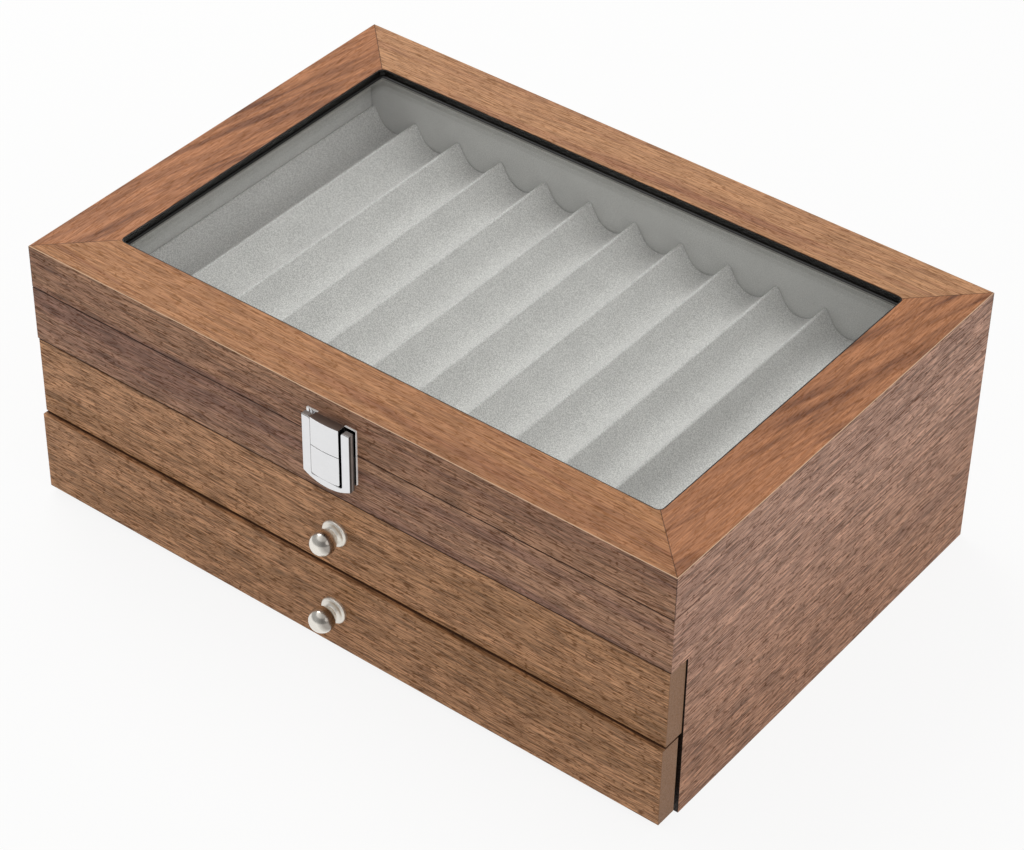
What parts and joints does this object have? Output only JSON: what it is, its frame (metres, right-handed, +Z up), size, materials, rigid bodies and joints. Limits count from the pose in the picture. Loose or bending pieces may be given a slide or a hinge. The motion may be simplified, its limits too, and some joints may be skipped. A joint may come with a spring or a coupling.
{
  "type": "pen collector chest",
  "caption": "Veneered wooden chest with a glazed hinged lid over a channelled pen tray, a press latch, and shallow pen drawers with ball knobs below.",
  "frame": {"origin": "middle of the underside of the case, on the table", "axes": "+X to the right along the case's width, +Y to the back, +Z up"},
  "size_m": [0.33, 0.2445, 0.1313],
  "materials": {
    "side_veneer": "matt lacquered walnut veneer, straight grain along the depth",
    "back_veneer": "matt lacquered walnut veneer, grain along the width",
    "front_veneer": "matt lacquered walnut veneer, grain along the width",
    "drawer_veneer": "matt lacquered walnut veneer, grain along the width",
    "lid_veneer": "matt lacquered walnut veneer, grain along each mitred rail",
    "drawer_wood": "plain matt wood",
    "board": "raw fibreboard",
    "base_felt": "black felt",
    "lining_velvet": "short grey velvet",
    "tray_velvet": "flocked grey velvet",
    "glass": "clear polished float glass",
    "black_gasket": "semi-gloss black",
    "retainer_board": "black painted board",
    "hinge_plate": "bright plated steel",
    "screw_steel": "zinc plated steel",
    "spring_steel": "bare spring steel",
    "latch_chrome": "polished chrome plate",
    "satin_nickel": "satin nickel plate"
  },
  "bodies": {
    "case": {"side_panel_left": "side_veneer", "side_panel_right": "side_veneer", "back_panel": "back_veneer", "upper_front_rail": "front_veneer", "compartment_floor": "board", "drawer_divider": "board", "base_board": "board", "base_felt": "base_felt", "lining_left": "lining_velvet", "lining_right": "lining_velvet", "lining_front": "lining_velvet", "lining_back": "lining_velvet", "top_pen_tray": "tray_velvet", "hinge_leaf_lower_left": "hinge_plate", "hinge_leaf_lower_right": "hinge_plate", "hinge_pin_left": "screw_steel", "hinge_pin_right": "screw_steel", "hinge_screws_lower": "screw_steel", "latch_case": "latch_chrome", "latch_case_plate": "latch_chrome", "latch_spring": "spring_steel", "latch_screws_lower": "screw_steel"},
    "lid": {"lid_rail_front": "lid_veneer", "lid_rail_back": "lid_veneer", "lid_rail_left": "lid_veneer", "lid_rail_right": "lid_veneer", "glass_pane": "glass", "window_gasket": "black_gasket", "glass_retainer": "retainer_board", "hinge_leaf_upper_left": "hinge_plate", "hinge_leaf_upper_right": "hinge_plate", "hinge_screws_upper": "screw_steel", "latch_tongue": "latch_chrome", "latch_screws_upper": "screw_steel"},
    "upper_drawer": {"upper_drawer_front": "drawer_veneer", "upper_drawer_side_left": "drawer_wood", "upper_drawer_side_right": "drawer_wood", "upper_drawer_back": "drawer_wood", "upper_drawer_bottom": "drawer_wood", "upper_pen_tray": "tray_velvet", "upper_knob": "satin_nickel", "upper_knob_screw": "screw_steel"},
    "lower_drawer": {"lower_drawer_front": "drawer_veneer", "lower_drawer_side_left": "drawer_wood", "lower_drawer_side_right": "drawer_wood", "lower_drawer_back": "drawer_wood", "lower_drawer_bottom": "drawer_wood", "lower_pen_tray": "tray_velvet", "lower_knob": "satin_nickel", "lower_knob_screw": "screw_steel"},
    "latch_push_button": {"latch_button": "latch_chrome"}
  },
  "joints": [
    {"name": "lid_hinge", "type": "hinge", "parent": "case", "child": "lid", "pos_m": [0, 0.1146, 0.1103], "axis": [-1, 0, 0], "range_deg": [0, 100]},
    {"name": "upper_drawer_slide", "type": "slide", "parent": "case", "child": "upper_drawer", "axis": [0, -1, 0], "range_m": [0, 0.155]},
    {"name": "lower_drawer_slide", "type": "slide", "parent": "case", "child": "lower_drawer", "axis": [0, -1, 0], "range_m": [-0.002, 0.153]},
    {"name": "latch_button_press", "type": "slide", "parent": "case", "child": "latch_push_button", "axis": [0, 1, 0], "range_m": [0, 0.0011], "stiffness_N_per_m": 600}
  ]
}
